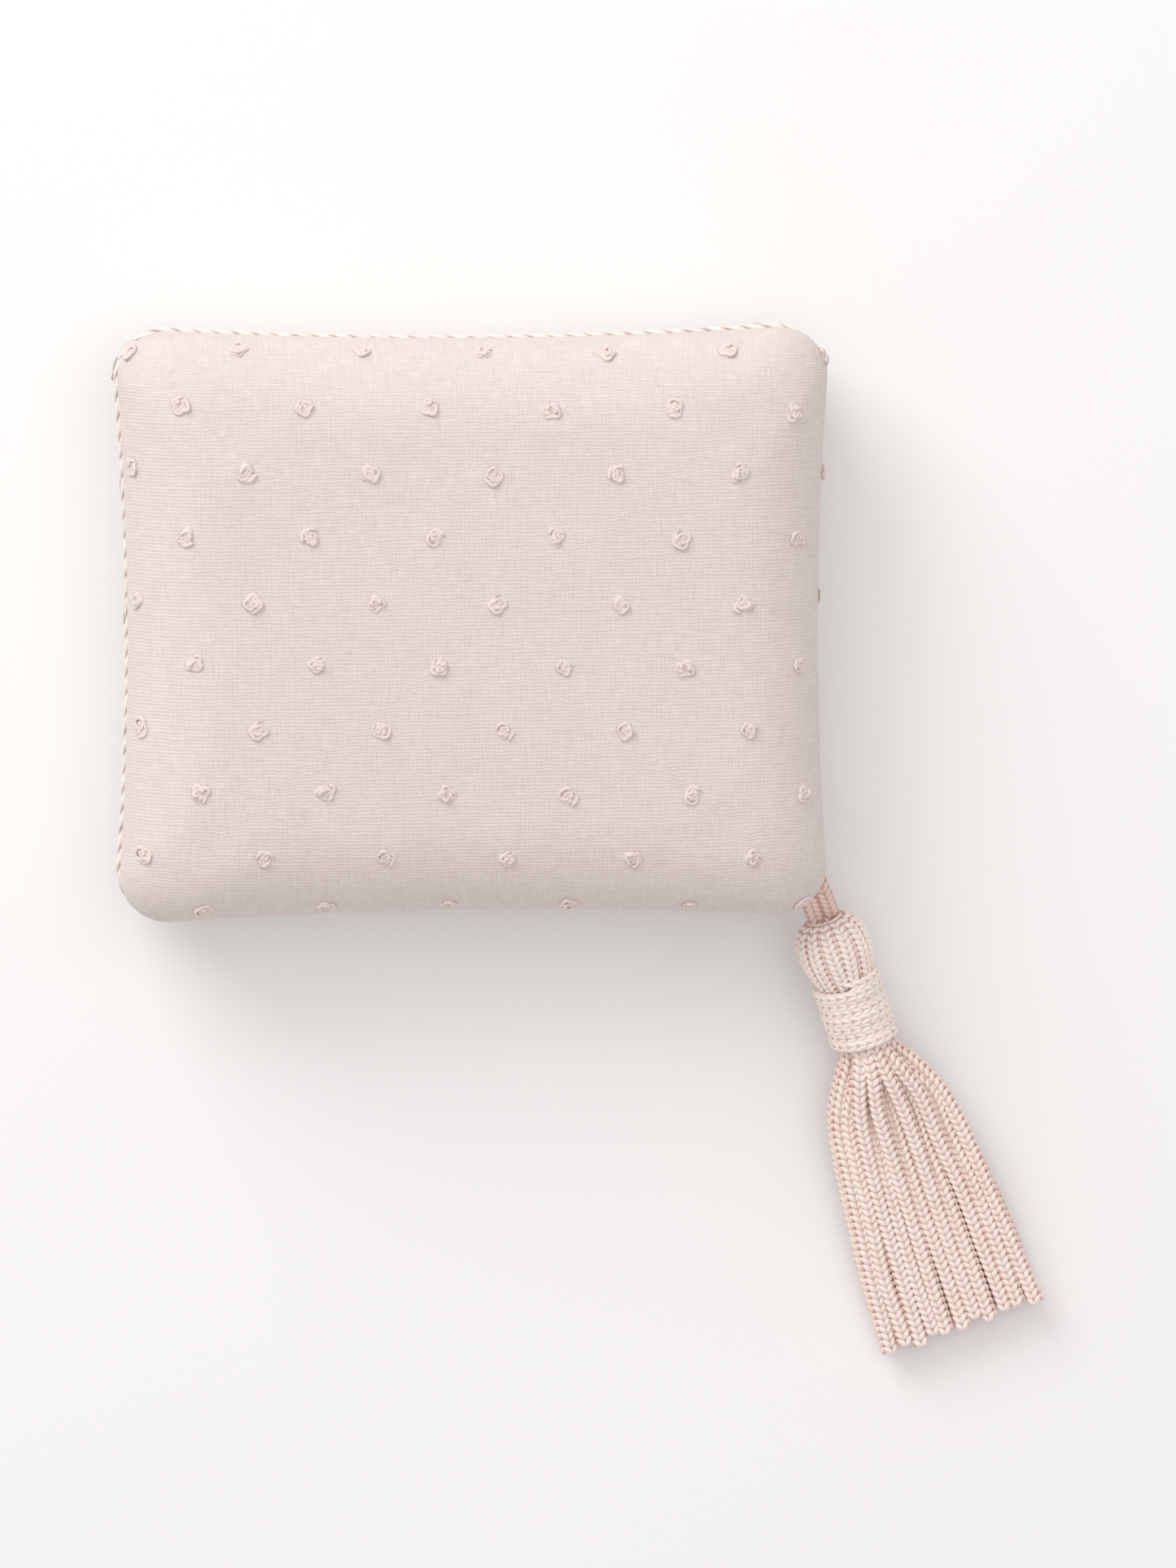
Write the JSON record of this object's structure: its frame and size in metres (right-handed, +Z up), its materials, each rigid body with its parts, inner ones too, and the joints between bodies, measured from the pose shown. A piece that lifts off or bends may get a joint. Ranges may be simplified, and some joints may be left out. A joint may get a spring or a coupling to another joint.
{
  "type": "ring bearer pillow",
  "caption": "Plump rectangular pillow in clip-dot cotton with a twisted cord round its seam and a chainette tassel on a short loop at one corner.",
  "frame": {"origin": "middle of the clip dot pressed flat at the centre of the back, on the plane that the pillow lies on", "axes": "+Z up, out of the front face; +X along the pillow's width towards the tassel's side; +Y along its height, away from the tassel's corner"},
  "size_m": [0.1593, 0.1773, 0.0334],
  "materials": {
    "blush_cotton": "matt plain weave",
    "clip_yarn": "soft clipped yarn",
    "ivory_cord": "lustrous twisted cord",
    "tassel_chainette": "lustrous knitted rayon",
    "sewing_thread": "matt thread",
    "case_cotton": "matt plain weave",
    "fibre_fill": "loose fibre"
  },
  "bodies": {
    "pillow": {"front_cover": "blush_cotton", "back_cover": "blush_cotton", "front_clip_dots": "clip_yarn", "back_clip_dots": "clip_yarn", "inner_case_front": "case_cotton", "inner_case_back": "case_cotton", "filling": "fibre_fill", "edge_cord": "ivory_cord", "seam_stitches": "sewing_thread", "case_stitches": "sewing_thread", "cord_stitches": "sewing_thread", "closing_stitches": "sewing_thread", "loop_tails": "tassel_chainette", "loop_stitches": "sewing_thread"},
    "loop": {"hanging_loop": "tassel_chainette"},
    "tassel_head": {"bundle_tie": "sewing_thread", "inner_head_cords": "tassel_chainette", "outer_head_cords": "tassel_chainette", "neck_wrap": "tassel_chainette"},
    "skirt": {"skirt_cord_1": "tassel_chainette", "skirt_cord_2": "tassel_chainette", "skirt_cord_3": "tassel_chainette", "skirt_cord_4": "tassel_chainette", "skirt_cord_5": "tassel_chainette", "skirt_cord_6": "tassel_chainette", "skirt_cord_7": "tassel_chainette", "skirt_cord_8": "tassel_chainette", "skirt_cord_9": "tassel_chainette", "skirt_cord_10": "tassel_chainette", "skirt_cord_11": "tassel_chainette", "skirt_cord_12": "tassel_chainette", "skirt_cord_13": "tassel_chainette", "skirt_cord_14": "tassel_chainette", "skirt_cord_15": "tassel_chainette", "skirt_cord_16": "tassel_chainette", "skirt_cord_17": "tassel_chainette", "skirt_cord_18": "tassel_chainette", "skirt_cord_19": "tassel_chainette", "skirt_cord_20": "tassel_chainette"}
  },
  "joints": [
    {"name": "tassel_lift", "type": "hinge", "parent": "pillow", "child": "loop", "pos_m": [0.05817, -0.0464, 0.016], "axis": [-0.9114, -0.4115, 0], "range_deg": [0, 60]},
    {"name": "tassel_swing", "type": "hinge", "parent": "loop", "child": "tassel_head", "pos_m": [0.06023, -0.05096, 0.0128], "axis": [0.0421, -0.1194, 0.992], "range_deg": [-20, 50]},
    {"name": "skirt_sway", "type": "hinge", "parent": "tassel_head", "child": "skirt", "pos_m": [0.06781, -0.07248, 0.00989], "axis": [0.0421, -0.1194, 0.992], "range_deg": [-15, 15]}
  ]
}
